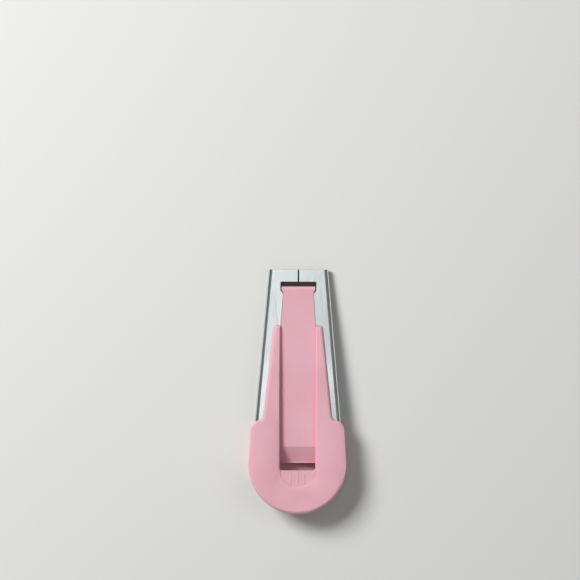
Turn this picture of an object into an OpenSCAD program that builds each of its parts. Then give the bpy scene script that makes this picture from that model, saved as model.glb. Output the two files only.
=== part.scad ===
// Fusible bias tape maker: a folded sheet-metal folder held in a two-piece moulded body.
// A fabric strip enters the mouth at the round end and leaves the tip folded in two.
// A fusible web rises through the slot, runs along the open channel and dips under the
// bridge at the tip, on top of the folded edges.
// The tool lies on its flat underside, tip towards +Y. All sizes are in millimetres.

/* [Tool] */
// Length from the tip to the round end
tool_len = 82.6; // [78:0.2:92]
// Angle at which the top face climbs from the tip to the round end
top_slope = 4.8; // [4.2:0.1:5.6]

/* [Tape and web] */
// Width of the finished tape at the tip
tape_w = 18; // [16:0.5:20]
// Play of the tape inside the folder, on each side
tape_play = 0.6; // [0.4:0.05:1]
// Width of the fusible web in the channel
web_w = 10; // [9:0.25:11]
// Play of the web in its channel, on each side
web_play = 1.05; // [0.6:0.05:1.2]

/* [Folder] */
// Thickness of the folder's sheet
sheet_t = 0.5; // [0.3:0.05:0.6]
// Outside radius of the folder's four bends
bend_r = 1.3; // [1:0.05:1.4]
// Height of the folder at the tip
tip_h = 2.9; // [2.8:0.05:3.4]
// Width of the folder where it enters the body
folder_w = 29.1; // [27:0.1:29.6]
// Length of the folder inside the body
folder_seat = 6.2; // [4:0.1:8]
// Length of the bridge across the tip
bridge_len = 4.2; // [3:0.1:5]
// Width of the slit through the bridge
slit_w = 0.5; // [0.3:0.05:0.8]
// Length of the window behind the bridge, up to its slanting corners
window_len = 2.9; // [2.4:0.1:3.4]
// Length of the window's slanting corners
corner_len = 1.1; // [0.8:0.1:1.8]
// Width that each slanting corner takes from the window
corner_w = 0.9; // [0.7:0.05:1.3]
// Width that the neck takes from the window at the rails, on each side
neck_in = 0.1; // [0.05:0.05:0.3]

/* [Web channel] */
// Distance from the tip to the front of the rails
rail_start = 19; // [16:0.2:24]
// Height of the rails above the folder
rail_h = 1; // [0.8:0.05:1.4]
// Width of each rail at its front
rail_front = 2.35; // [1.9:0.05:2.8]
// Width of each rail where it meets the body
rail_rear = 5.75; // [4.5:0.05:6]
// Radius along the upper edges of the rails
rail_edge_r = 0.9; // [0.4:0.05:0.95]
// Radius of the rails' front corners, seen from above
rail_corner_r = 1.2; // [0.8:0.1:1.5]
// Radius of the fillet from each rail to the shoulder
flare_r = 1.4; // [1:0.1:2]
// Thickness of the channel's side walls below the rails
channel_wall = 1.1; // [0.9:0.05:1.4]
// Thickness of the channel's floor and of the tongue
floor_t = 1; // [0.8:0.05:1.1]
// Drop of the tongue's upper face below the folder's top
tongue_drop = 0.1; // [0.05:0.05:0.2]
// Gap between the tongue's nose and the bridge, through which the web dips
nose_gap = 1.5; // [1.2:0.1:1.8]
// Extra drop of the tongue at its nose
nose_drop = 0.5; // [0.2:0.05:0.6]
// Depth of the channel below the rails where the ramp begins
ramp_depth = 2.1; // [1.6:0.1:2.6]
// Length of the ramp down to the slot
ramp_len = 5.4; // [4:0.1:6]
// Length of the level land at the foot of the ramp
lip_land = 0.75; // [0.4:0.05:1]
// Length of the slot at the foot of the ramp
slot_len = 2.7; // [1.8:0.1:3]
// Radius of the slot's rear corners
slot_corner_r = 0.9; // [0.4:0.1:1.2]
// Distance from the round end to the slot's rear edge
slot_back = 14.7; // [13.5:0.1:16]
// Height of the gap under the lip of the ramp, for the fabric
fabric_gap = 2.5; // [1.8:0.1:3]

/* [Body] */
// Width of the round end
body_w = 33.2; // [32.4:0.1:36]
// Length of the body from its shoulders to the round end
body_len = 31.8; // [29:0.2:34]
// Step from the folder's side out to the body's side, at the shoulders
shoulder_step = 1.45; // [1.2:0.05:1.7]
// Radius of the shoulders' corners, seen from above
shoulder_r = 4; // [3:0.1:5]
// Radius along the upper edge of the body
top_edge_r = 1; // [0.8:0.05:1.2]
// Radius along the lower edge of the body
base_edge_r = 0.7; // [0.4:0.05:0.75]
// Radius along the lips of the mouth
lip_edge_r = 0.3; // [0.15:0.05:0.35]
// Thickness of the top plate
plate_t = 1.6; // [1.6:0.05:2]
// Thickness of the body's side walls
wall_t = 1.9; // [1.8:0.05:2.2]
// Thickness of the body's floor
tray_t = 1.2; // [1:0.05:1.5]
// Length of the open mouth, from the round end to the throat of its side walls
mouth_len = 13.6; // [11.5:0.1:14.4]
// Height of the guide's skirt below the folder's top
skirt_h = 3; // [2.6:0.1:3.6]
// Set-back of the tray's side from the guide's side
reveal = 0.2; // [0.1:0.05:0.3]
// Height of the lap joint between the guide and the tray
lap_h = 1; // [0.6:0.1:1.4]
// Thickness of the tray's lap
lap_t = 0.8; // [0.6:0.05:0.9]
// Depth of the finger recess behind the slot
recess_d = 0.5; // [0.3:0.05:0.6]
// Distance from the slot's rear edge forward to the centre of the finger recess
recess_in = 0.4; // [0:0.1:0.8]
// Number of grip ribs in the finger recess
rib_count = 3; // [2:1:4]
// Distance from rib to rib
rib_pitch = 2.3; // [1.8:0.1:2.6]
// Width of a rib
rib_w = 0.7; // [0.5:0.05:0.9]
// Height of a rib
rib_h = 0.15; // [0.1:0.05:0.3]
// Length of a rib
rib_len = 3.6; // [2.5:0.1:3.8]

/* [Fits] */
// Clearance between the folder and the mouldings
fit = 0.08; // [0.05:0.01:0.15]

/* [Hidden] */
PINK = [0.87, 0.65, 0.70];
NICKEL = [0.80, 0.82, 0.83];
$fn = 48;
hull_fn = 40;   // facets of the rounded posts inside a hull
arc_steps = 4;  // facets across a rounded edge
rail_face = 0.05;   // least height of a rail's side below its rounded edge
slice = 0.02;   // thickness of the end slices that the folder's form is drawn between
over = 1;       // how far a cut runs past the face that it opens
far = 120;      // longer than the tool, for half spaces

// Stations along the tool
y_tip = tool_len / 2;
y_end = -tool_len / 2;
y_window = y_tip - bridge_len;
y_nose = y_window - nose_gap;
y_ear = y_window - window_len;
y_neck = y_ear - corner_len;
y_rail = y_tip - rail_start;
y_shoulder = y_end + body_len;
y_seat = y_shoulder - folder_seat;
y_slot_end = y_end + slot_back;
y_lip = y_slot_end + slot_len;
y_ramp = y_lip + ramp_len;
y_mouth = y_end + mouth_len;
y_round = y_end + body_w / 2;

// Half widths across the tool
tip_half = tape_w / 2 + tape_play + sheet_t;
channel_half = web_w / 2 + web_play;
trough_half = channel_half + channel_wall;
shoulder_half = folder_w / 2 + shoulder_step;
neck_front_half = channel_half - corner_w;
neck_rear_half = channel_half - neck_in;
rail_front_half = channel_half + rail_front;
rail_rear_half = channel_half + rail_rear;

// Heights: the sloping top of the folder is the plane that the mouldings are set from
function slope_z(y, rise = 0) =
    tip_h + (y_tip - y) * tan(top_slope) + rise / cos(top_slope);
function along(y) = (y - y_tip) / cos(top_slope);
function folder_half(y) =
    tip_half + (folder_w / 2 - tip_half) * (y_tip - y) / (y_tip - y_shoulder);

plate_under = rail_h - plate_t;
lip_z = tray_t + fabric_gap;
round_v = along(y_end) + body_w / 2 - (plate_under + lip_edge_r) * tan(top_slope);
throat_r = (slope_z(y_mouth, plate_under) - tray_t) / 2;

// Places its children on the folder's sloping top: Y along the slope, Z square to it
module on_slope() {
    translate([0, y_tip, tip_h])
        rotate([-top_slope, 0, 0])
            children();
}

// Extrudes a side view, drawn as [y, z] points, to a half width on both sides
module side_view(points, half) {
    rotate([90, 0, 90])
        translate([0, 0, -half])
            linear_extrude(2 * half)
                polygon(points);
}

// Mirrors a plan of [x, y] points for the right-hand side into a closed outline
function both_sides(right) =
    concat(right, [for (i = [len(right) - 1:-1:0]) [-right[i][0], right[i][1]]]);

// Post with a rounded upper and lower edge, the corner of a moulding's outline
module post(r, low, high, low_r, high_r) {
    rotate_extrude($fn = hull_fn)
        polygon(concat(
            [[0, low]],
            [for (i = [0:arc_steps]) let (a = -90 + 90 * i / arc_steps)
                [r - low_r + low_r * cos(a), low + low_r + low_r * sin(a)]],
            [for (i = [0:arc_steps]) let (a = 90 * i / arc_steps)
                [r - high_r + high_r * cos(a), high - high_r + high_r * sin(a)]],
            [[0, high]]));
}

// Body outline, a round end between two rounded shoulders, drawn in by an inset
module outline(v_round, v_shoulder, inset, low, high, low_r = 0.01, high_r = 0.01) {
    hull() {
        translate([0, v_round, 0])
            post(body_w / 2 - inset, low, high, low_r, high_r);
        for (side = [-1, 1])
            translate([side * (shoulder_half - shoulder_r), v_shoulder - shoulder_r, 0])
                post(max(shoulder_r - inset, 0.1), low, high, low_r, high_r);
    }
}

// Outline set square to the sloping top, for the guide
module slope_outline(inset, low, high, low_r = 0.01, high_r = 0.01) {
    on_slope()
        outline(round_v, along(y_shoulder), inset, low, high, low_r, high_r);
}

// Outline standing on the underside, for the tray
module base_outline(inset, high, low_r = 0.01, high_r = 0.01) {
    outline(y_round, y_shoulder, inset, 0, high, low_r, high_r);
}

// Outer form of the folder between two stations, drawn in by an inset
module folder_form(y_front, y_back, inset) {
    hull()
        for (y = [y_front, y_back], side = [-1, 1], z = [bend_r, slope_z(y) - bend_r])
            translate([side * (folder_half(y) - bend_r), y, z])
                rotate([90, 0, 0])
                    cylinder(r = bend_r - inset, h = slice, center = true, $fn = hull_fn);
}

// Space that the folder fills, with its clearance
module folder_pocket() {
    folder_form(y_tip + over, y_seat - fit, -fit);
}

// Plan of the opening between the folder's flanges: slit, window, neck and channel
flange_plan = both_sides([
    [slit_w / 2, along(y_tip + over)],
    [slit_w / 2, along(y_window)],
    [channel_half, along(y_window)],
    [channel_half, along(y_ear)],
    [neck_front_half, along(y_neck)],
    [neck_rear_half, along(y_rail)],
    [trough_half + fit, along(y_rail)],
    [trough_half + fit, along(y_seat - over)]]);

// Plan of the tongue, which fills the neck and the window and runs on past its nose
tongue_plan = both_sides([
    [channel_half - fit, along(y_nose + over)],
    [channel_half - fit, along(y_ear)],
    [neck_front_half - fit, along(y_neck)],
    [neck_rear_half - fit, along(y_rail)],
    [neck_rear_half - fit, along(y_rail - over)]]);

// Side view of the tongue: level with the flanges, then bent down to a round nose
nose_r = floor_t / 3;
nose_z = slope_z(y_nose, -tongue_drop - nose_drop - nose_r);
tongue_side = concat(
    [[y_rail - over, slope_z(y_rail - over, -tongue_drop)],
     [y_ear, slope_z(y_ear, -tongue_drop)]],
    [for (a = [90:-30:-90]) [y_nose - nose_r + nose_r * cos(a), nose_z + nose_r * sin(a)]],
    [[y_ear, slope_z(y_ear, -tongue_drop - floor_t)],
     [y_rail - over, slope_z(y_rail - over, -tongue_drop - floor_t)]]);

// Upper face of the channel's floor, from the tongue to the lip of the ramp
floor_top = [
    [y_rail, slope_z(y_rail, -tongue_drop)],
    [y_ramp, slope_z(y_ramp, rail_h - ramp_depth)],
    [y_lip + lip_land, lip_z + floor_t],
    [y_lip, lip_z + floor_t]];

// Sheet-metal folder: base, two sides and two flanges that meet at the bridge
module folder_shell() {
    color(NICKEL)
        difference() {
            folder_form(y_tip - slice / 2, y_seat + slice / 2, 0);
            folder_form(y_tip + over, y_seat - over, sheet_t);
            on_slope()
                translate([0, 0, -1.5 * sheet_t])
                    linear_extrude(3 * sheet_t)
                        polygon(flange_plan);
        }
}

// Channel below the rails: floor and side walls, down to the lip of the ramp
module channel_trough() {
    wall_top = rail_h / 2;  // inside the rails, so that the two join
    side_view([
        [y_rail, slope_z(y_rail, wall_top)],
        [y_lip, slope_z(y_lip, wall_top)],
        [y_lip, lip_z],
        [y_lip + lip_land, lip_z],
        [y_ramp, floor_top[1][1] - floor_t / cos(top_slope)],
        [y_rail, slope_z(y_rail, -tongue_drop - floor_t)]], trough_half);
}

// Open space of the channel, with the slot at its rear end
module channel_space() {
    high = slope_z(y_end, rail_h) + over;
    side_view(concat(
        [[y_rail + over, slope_z(y_rail + over, -tongue_drop)]],
        floor_top,
        [[y_lip, high], [y_rail + over, high]]), channel_half);
    translate([0, 0, -over])
        linear_extrude(high + over)
            slot_plan();
}

// Plan of the slot, square at the lip and round at its rear corners
module slot_plan() {
    translate([-channel_half, y_slot_end + slot_corner_r])
        square([2 * channel_half, slot_len - slot_corner_r]);
    translate([-channel_half + slot_corner_r, y_slot_end])
        square([2 * (channel_half - slot_corner_r), slot_len]);
    for (side = [-1, 1])
        translate([side * (channel_half - slot_corner_r), y_slot_end + slot_corner_r])
            circle(slot_corner_r);
}

// Tongue that runs on from the channel's floor, between the flanges, to the window
module tongue() {
    intersection() {
        on_slope()
            translate([0, 0, -tip_h])
                linear_extrude(tip_h + rail_h)
                    polygon(tongue_plan);
        side_view(tongue_side, body_w / 2);
    }
}

// Corners of the rail and of the shoulder on the right-hand side
rail_lean = atan((rail_rear_half - rail_front_half) / (along(y_rail) - along(y_shoulder)));
rail_out = [cos(rail_lean), sin(rail_lean)];
rail_way = [-sin(rail_lean), cos(rail_lean)];
function rail_post(v) =
    [rail_rear_half - (v - along(y_shoulder)) * tan(rail_lean) - rail_corner_r / cos(rail_lean), v];
rail_front_post = rail_post(along(y_rail) - rail_corner_r);
rail_rear_post = rail_post(along(y_shoulder) - shoulder_r);
shoulder_post = [shoulder_half - shoulder_r, along(y_shoulder) - shoulder_r];
rail_round = min(rail_edge_r, rail_h - rail_face);

// Rails on both sides of the channel, which lie on the folder's flanges
module rails() {
    on_slope()
        hull()
            for (side = [0, 1], place = [rail_front_post, rail_rear_post])
                mirror([side, 0, 0])
                    translate(place)
                        post(rail_corner_r, 0, rail_h, 0.01, rail_round);
}

// Centre of the fillet that touches the rail's side and the shoulder's round corner
flare_start = rail_rear_post + (rail_corner_r + flare_r) * rail_out;
flare_off = flare_start - shoulder_post;
flare_run = sqrt(pow(flare_off * rail_way, 2) - flare_off * flare_off + pow(shoulder_r + flare_r, 2))
    - flare_off * rail_way;
flare_at = flare_start + flare_run * rail_way;

// Fillets that spread the rails into the shoulders, rounded along their upper edge
module rail_flares() {
    on_slope()
        for (side = [0, 1])
            mirror([side, 0, 0])
                difference() {
                    linear_extrude(rail_h)
                        polygon([flare_at, flare_at - (flare_r + rail_corner_r) * rail_out,
                                 rail_rear_post, shoulder_post]);
                    translate(flare_at)
                        flare_cut();
                }
}

// Round cut that leaves a flare, opening out at the top along the rail's rounded edge
module flare_cut() {
    rotate_extrude()
        polygon(concat(
            [[0, -over], [flare_r, -over]],
            [for (i = [0:arc_steps]) let (a = 90 * i / arc_steps)
                [flare_r + rail_round * (1 - cos(a)), rail_h - rail_round * (1 - sin(a))]],
            [[flare_r + rail_round, rail_h + over], [0, rail_h + over]]));
}

// Finger recess behind the slot, half a disc sunk into the top plate
module finger_recess() {
    on_slope()
        translate([0, along(y_slot_end + recess_in), rail_h - recess_d])
            cylinder(r = channel_half, h = recess_d + over);
}

// Grip ribs on the floor of the finger recess
module grip_ribs() {
    rib_gap = 1;    // from the slot's edge to the ribs
    on_slope()
        for (i = [0:rib_count - 1])
            translate([(i - (rib_count - 1) / 2) * rib_pitch - rib_w / 2,
                       along(y_slot_end) - rib_gap - rib_len,
                       rail_h - recess_d - rib_h])
                cube([rib_w, rib_len, 2 * rib_h]);
}

// Skirt of the guide: side walls from the plate down to the lap joint with the tray
module guide_skirt() {
    skirt_top = rail_h - top_edge_r;    // where the rounded upper edge begins
    difference() {
        slope_outline(0, -skirt_h, skirt_top);
        slope_outline(wall_t, -skirt_h - over, over);
        mouth_space();
        intersection() {
            slope_outline(wall_t - lap_t - fit, -skirt_h - over, lap_h - skirt_h + fit);
            behind(y_seat);
        }
    }
}

// Half space behind a station
module behind(y) {
    translate([-far / 2, y - far, -far / 2])
        cube(far);
}

// Everything behind the throat of the mouth, where the body has no side walls
module mouth_space() {
    behind(y_mouth - throat_r);
    translate([-body_w, y_mouth - throat_r, tray_t + throat_r])
        rotate([0, 90, 0])
            cylinder(r = throat_r, h = 2 * body_w);
}

// Upper moulding: top plate, skirt, rails, web channel and tongue in one piece
module guide_body() {
    color(PINK) {
        difference() {
            union() {
                difference() {
                    union() {
                        slope_outline(0, plate_under, rail_h, lip_edge_r, top_edge_r);
                        guide_skirt();
                        rails();
                        rail_flares();
                    }
                    folder_pocket();
                }
                channel_trough();
                tongue();
            }
            channel_space();
            finger_recess();
        }
        grip_ribs();
    }
}

// Everything below a plane parallel to the sloping top
module below(rise) {
    side_view([
        [y_end - far, slope_z(y_end - far, rise)],
        [y_tip + far, slope_z(y_tip + far, rise)],
        [y_tip + far, -far],
        [y_end - far, -far]], far);
}

// Side walls of the tray, with the lap that stands up inside the guide's skirt
module tray_walls() {
    high = slope_z(y_end);
    difference() {
        union() {
            intersection() {
                base_outline(reveal, high, base_edge_r);
                below(-skirt_h - fit);
            }
            intersection() {
                base_outline(wall_t - lap_t, high);
                below(lap_h - skirt_h);
                behind(y_seat - fit);
            }
        }
        base_outline(wall_t, high + over);
        mouth_space();
    }
}

// Floor of the tray, sloped down at its front to the folder's base
module tray_floor() {
    slope_len = 2.5;            // length of the sloped front
    front_t = sheet_t + fit;    // thickness left at the folder's rear edge
    difference() {
        base_outline(reveal, tray_t, base_edge_r, lip_edge_r);
        side_view([
            [y_seat, front_t],
            [y_seat - slope_len, tray_t],
            [y_seat - slope_len, tray_t + over],
            [y_seat, tray_t + over]], body_w / 2 - wall_t);
        translate([-body_w, y_seat, -over])
            cube([2 * body_w, far, tray_t + 2 * over]);
    }
}

// Lower moulding: floor and side walls of the mouth, open at the round end
module base_tray() {
    color(PINK)
        difference() {
            union() {
                tray_walls();
                tray_floor();
            }
            folder_pocket();
        }
}

folder_shell();
guide_body();
base_tray();
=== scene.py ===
"""Fusible bias tape maker: a folded nickel-plated folder held in a two-piece pink moulding.

The pieces are modelled in millimetres, set in the frame and dressed. The tip points to +Y.
"""

import logging
import math
from collections.abc import Callable, Iterator, Sequence
from contextlib import contextmanager
from dataclasses import dataclass
from enum import Enum
from typing import NamedTuple

import bmesh
import bpy
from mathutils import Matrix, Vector


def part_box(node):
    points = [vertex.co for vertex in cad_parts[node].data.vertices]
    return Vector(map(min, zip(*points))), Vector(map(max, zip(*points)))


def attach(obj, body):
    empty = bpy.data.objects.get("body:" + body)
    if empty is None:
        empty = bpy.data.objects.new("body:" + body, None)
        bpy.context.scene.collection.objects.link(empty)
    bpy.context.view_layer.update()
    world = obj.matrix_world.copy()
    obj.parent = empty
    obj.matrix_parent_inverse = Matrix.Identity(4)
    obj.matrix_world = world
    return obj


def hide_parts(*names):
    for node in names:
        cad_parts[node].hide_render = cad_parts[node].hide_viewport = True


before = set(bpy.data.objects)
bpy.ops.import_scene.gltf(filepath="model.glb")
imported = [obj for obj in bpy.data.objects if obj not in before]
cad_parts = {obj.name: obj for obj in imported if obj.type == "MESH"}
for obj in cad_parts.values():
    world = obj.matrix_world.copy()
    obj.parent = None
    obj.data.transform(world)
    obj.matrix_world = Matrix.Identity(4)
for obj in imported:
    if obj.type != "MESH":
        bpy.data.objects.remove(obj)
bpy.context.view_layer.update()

MM = 0.001
NEAR = 0.02
MOSTLY = 0.9
STRAIGHT = 0.99
LOG = logging.getLogger("tape_maker")

Point = tuple[float, float]
Point3 = tuple[float, float, float]
Color = tuple[float, float, float, float]
Socket = bpy.types.NodeSocket
Sockets = bpy.types.bpy_prop_collection
Feed = float | Color | Socket
Values = dict[str | int, object]
Kinds = dict[str, str]


class Kind(Enum):
    """What a pick selects."""

    VERTS = "VERT"
    EDGES = "EDGE"
    FACES = "FACE"


class Carve(Enum):
    """How one solid acts on another."""

    FUSE = "UNION"
    CUT = "DIFFERENCE"


class Reach(Enum):
    """Which reflections a lamp takes part in."""

    BOTH = "both"
    MATT = "matt"
    GLOSS = "gloss"


class Axis(Enum):
    """Directions of the tool, as the places of a vector's values."""

    ACROSS = 0
    ALONG = 1
    UP = 2


class Spot(NamedTuple):
    """Middle of a vertex, edge or face, with its direction or normal."""

    at: Vector
    way: Vector

    def runs(self, axis: Axis) -> bool:
        """Tell whether the direction runs mostly along an axis."""
        return abs(self.way[axis.value]) > MOSTLY

    def faces_up(self) -> bool:
        """Tell whether the normal points straight up, as on a flat top."""
        return self.way.z > STRAIGHT


Test = Callable[[Spot], bool]


def near(value: float, target: float, slack: float = NEAR) -> bool:
    """Tell whether a length is within a slack of another, in millimetres."""
    return abs(value - target) < slack


def anywhere(_spot: Spot) -> bool:
    """Pass every spot."""
    return True


def smooth_step(share: float) -> float:
    """Ease a share in and out between nought and one."""
    share = min(max(share, 0.0), 1.0)
    return share * share * (3 - 2 * share)


def arc(centre: Point, radius: float, start: float, end: float, steps: int) -> list[Point]:
    """Lay points along an arc.

    Args:
        centre: Centre of the arc.
        radius: Radius of the arc.
        start: Angle of the first point, in degrees from +X.
        end: Angle of the last point, in degrees.
        steps: Number of chords.

    Returns:
        The points in order, with both ends.
    """
    angles = [math.radians(start + (end - start) * step / steps) for step in range(steps + 1)]
    return [(centre[0] + radius * math.cos(a), centre[1] + radius * math.sin(a)) for a in angles]


def both_sides(right: Sequence[Point]) -> list[Point]:
    """Close a right-hand outline with its mirror image.

    Args:
        right: Points of the right-hand side, from the rear to the front.

    Returns:
        The points of the whole outline, each once.
    """
    left = [(-x, y) for x, y in reversed(right) if not near(x, 0)]
    return list(right) + left


def drop_selection() -> None:
    """Leave nothing selected."""
    for obj in bpy.context.selected_objects:
        obj.select_set(False)


class Bench:
    """One mesh on the bench, shaped in edit mode in millimetres until it is set in the frame."""

    MERGE = 0.002
    FLAT = math.radians(0.05)
    CUT_SLACK = 1e-5
    NEEDLE = 1e-4
    AREA_WEIGHT = 80

    def __init__(self, name: str) -> None:
        """Take up the primitive that was just added.

        Args:
            name: Name of the object and of its mesh.
        """
        self.obj: bpy.types.Object = bpy.context.object
        self.obj.name = name
        self.obj.data.name = name
        self.settle()

    @classmethod
    def block(cls, name: str, low: Point3, high: Point3) -> "Bench":
        """Add a block between two corners.

        Args:
            name: Name of the block.
            low: Lowest corner.
            high: Highest corner.

        Returns:
            The block on its bench.
        """
        drop_selection()
        middle = [(a + b) / 2 for a, b in zip(low, high)]
        span = [b - a for a, b in zip(low, high)]
        bpy.ops.mesh.primitive_cube_add(size=1, location=middle, scale=span)
        return cls(name)

    @classmethod
    def plate(cls, name: str, outline: Sequence[Point], low: float, high: float) -> "Bench":
        """Trace an outline point by point, fill it and raise it to a plate.

        Args:
            name: Name of the plate.
            outline: Points of the closed outline, each once.
            low: Height of the lower face.
            high: Height of the upper face.

        Returns:
            The plate on its bench.
        """
        drop_selection()
        bpy.ops.mesh.primitive_plane_add(size=1, location=(0, 0, 0))
        bench = cls(name)
        with bench.edit():
            bpy.ops.mesh.select_mode(type="VERT")
            bpy.ops.mesh.select_all(action="SELECT")
            bpy.ops.mesh.merge(type="CENTER")
            bpy.ops.transform.translate(value=(*outline[0], low))
            for here, there in zip(outline, outline[1:]):
                step = (there[0] - here[0], there[1] - here[1], 0)
                bpy.ops.mesh.extrude_vertices_move(TRANSFORM_OT_translate={"value": step})
            bpy.ops.mesh.select_all(action="SELECT")
            bpy.ops.mesh.edge_face_add()
            bpy.ops.mesh.select_all(action="SELECT")
            rise = (0, 0, high - low)
            bpy.ops.mesh.extrude_region_move(TRANSFORM_OT_translate={"value": rise})
            bench.face_outwards()
        return bench

    @classmethod
    def across(cls, name: str, profile: Sequence[Point], half: float) -> "Bench":
        """Trace a profile seen from the side and draw it out across the tool.

        Args:
            name: Name of the solid.
            profile: Stations and heights of the closed profile, each once.
            half: Half of the solid's width.

        Returns:
            The solid on its bench.
        """
        bench = cls.plate(name, profile, -half, half)
        bench.obj.rotation_euler = (math.pi / 2, 0, math.pi / 2)
        bench.settle()
        return bench

    def hold(self) -> None:
        """Select this mesh alone and make it the active one."""
        drop_selection()
        self.obj.select_set(True)
        bpy.context.view_layer.objects.active = self.obj

    def settle(self) -> None:
        """Bring the object's place, turn and scale into its mesh."""
        bpy.ops.object.transform_apply(location=True, rotation=True, scale=True)

    def coat(self, *finishes: bpy.types.Material) -> None:
        """Give the mesh its finishes, in place of what it has.

        Args:
            finishes: The finishes, in the order of their slots.
        """
        self.obj.data.materials.clear()
        for finish in finishes:
            self.obj.data.materials.append(finish)

    @contextmanager
    def edit(self) -> Iterator[None]:
        """Work on this mesh alone in edit mode, with nothing selected at first.

        Yields:
            Nothing, while the mesh is in edit mode.
        """
        self.hold()
        bpy.ops.object.mode_set(mode="EDIT")
        bpy.ops.mesh.select_all(action="DESELECT")
        yield
        bpy.ops.object.mode_set(mode="OBJECT")

    def pick(self, kind: Kind, test: Test) -> None:
        """Select what passes a test on its place and direction.

        Args:
            kind: Vertices, edges or faces.
            test: Test on the middle and the direction or normal.
        """
        bpy.ops.mesh.select_mode(type=kind.value)
        bpy.ops.mesh.select_all(action="DESELECT")
        cage = bmesh.from_edit_mesh(self.obj.data)
        if kind is Kind.VERTS:
            spots = [(vert, Spot(vert.co, vert.normal)) for vert in cage.verts]
        elif kind is Kind.EDGES:
            ends = [(edge, edge.verts[0].co, edge.verts[1].co) for edge in cage.edges]
            spots = [(edge, Spot((a + b) / 2, (b - a).normalized())) for edge, a, b in ends]
        else:
            spots = [(face, Spot(face.calc_center_median(), face.normal)) for face in cage.faces]
        for part, spot in spots:
            if test(spot):
                part.select_set(True)
        cage.select_flush_mode()
        bmesh.update_edit_mesh(self.obj.data, loop_triangles=False, destructive=False)

    def move(self, test: Test, step: Point3) -> None:
        """Move the vertices that pass a test by a step."""
        self.pick(Kind.VERTS, test)
        bpy.ops.transform.translate(value=step)

    def narrow(self, test: Test, factor: float) -> None:
        """Scale the vertices that pass a test across the tool."""
        self.pick(Kind.VERTS, test)
        bpy.ops.transform.resize(value=(factor, 1, 1), center_override=(0, 0, 0))

    def remove(self, test: Test) -> None:
        """Remove the faces that pass a test."""
        self.pick(Kind.FACES, test)
        bpy.ops.mesh.delete(type="FACE")

    def round_off(self, test: Test, width: float, steps: int, kind: Kind = Kind.EDGES) -> None:
        """Round the edges that pass a test, or the corners in plan.

        Args:
            test: Test on the middle and the direction or normal.
            width: Width of the rounding.
            steps: Number of facets across it.
            kind: Edges, or vertices for corners.
        """
        self.pick(kind, test)
        bpy.ops.mesh.bevel(
            offset=width,
            segments=steps,
            profile=0.5,
            affect="EDGES" if kind is Kind.EDGES else "VERTICES",
            clamp_overlap=False,
        )

    def split(self, test: Test, point: Point3, normal: Point3, cut_off: bool = False) -> None:
        """Cut the faces that pass a test along a plane.

        Args:
            test: Test on the middle and the normal.
            point: A point on the plane.
            normal: Normal of the plane.
            cut_off: Whether the side that the normal points to is removed and the cut closed.
        """
        self.pick(Kind.FACES, test)
        bpy.ops.mesh.bisect(
            plane_co=point,
            plane_no=Vector(normal).normalized(),
            use_fill=cut_off,
            clear_outer=cut_off,
            threshold=self.CUT_SLACK,
        )

    def face_outwards(self) -> None:
        """Turn every face of a closed mesh outwards."""
        bpy.ops.mesh.select_all(action="SELECT")
        bpy.ops.mesh.normals_make_consistent(inside=False)

    def clean(self) -> None:
        """Merge doubles and join the faces that lie in one plane."""
        with self.edit():
            bpy.ops.mesh.select_all(action="SELECT")
            bpy.ops.mesh.remove_doubles(threshold=self.MERGE)
            bpy.ops.mesh.select_all(action="SELECT")
            bpy.ops.mesh.dissolve_limited(angle_limit=self.FLAT)
            self.face_outwards()

    def modify(self, kind: str, **settings: object) -> None:
        """Add one modifier and apply it.

        Args:
            kind: Type of the modifier.
            settings: Values of its properties.
        """
        self.hold()
        modifier = self.obj.modifiers.new(kind.lower(), kind)
        for name, value in settings.items():
            setattr(modifier, name, value)
        bpy.ops.object.modifier_apply(modifier=modifier.name)

    def carve(self, tool: "Bench", how: Carve) -> None:
        """Fuse another solid to this one or cut it away, and clear that solid off the bench.

        Args:
            tool: The other solid.
            how: Fuse or cut.
        """
        self.modify("BOOLEAN", operation=how.value, object=tool.obj, solver="MANIFOLD")
        bpy.data.objects.remove(tool.obj)

    def set_in_frame(
        self,
        slope: float = 0.0,
        origin: Point3 = (0, 0, 0),
        crease: float = 21.0,
    ) -> bpy.types.Object:
        """Turn the mesh by a slope, move it, bring it to metres and smooth its roundings.

        Args:
            slope: Angle by which the rear rises, in degrees.
            origin: Place of the bench's origin in the frame, in millimetres.
            crease: Angle from which an edge stays sharp, in degrees.

        Returns:
            The finished object, with its place in its mesh.
        """
        # Needles that the cuts leave would become loose slivers among the triangles.
        with self.edit():
            bpy.ops.mesh.select_all(action="SELECT")
            bpy.ops.mesh.dissolve_degenerate(threshold=self.NEEDLE)
        self.obj.rotation_euler = (-math.radians(slope), 0, 0)
        self.obj.location = [value * MM for value in origin]
        self.obj.scale = (MM, MM, MM)
        self.settle()
        bpy.ops.object.shade_smooth_by_angle(angle=math.radians(crease))
        self.modify("WEIGHTED_NORMAL", keep_sharp=True, weight=self.AREA_WEIGHT)
        self.modify(
            "TRIANGULATE",
            quad_method="BEAUTY",
            ngon_method="BEAUTY",
            keep_custom_normals=True,
        )
        return self.obj


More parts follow.
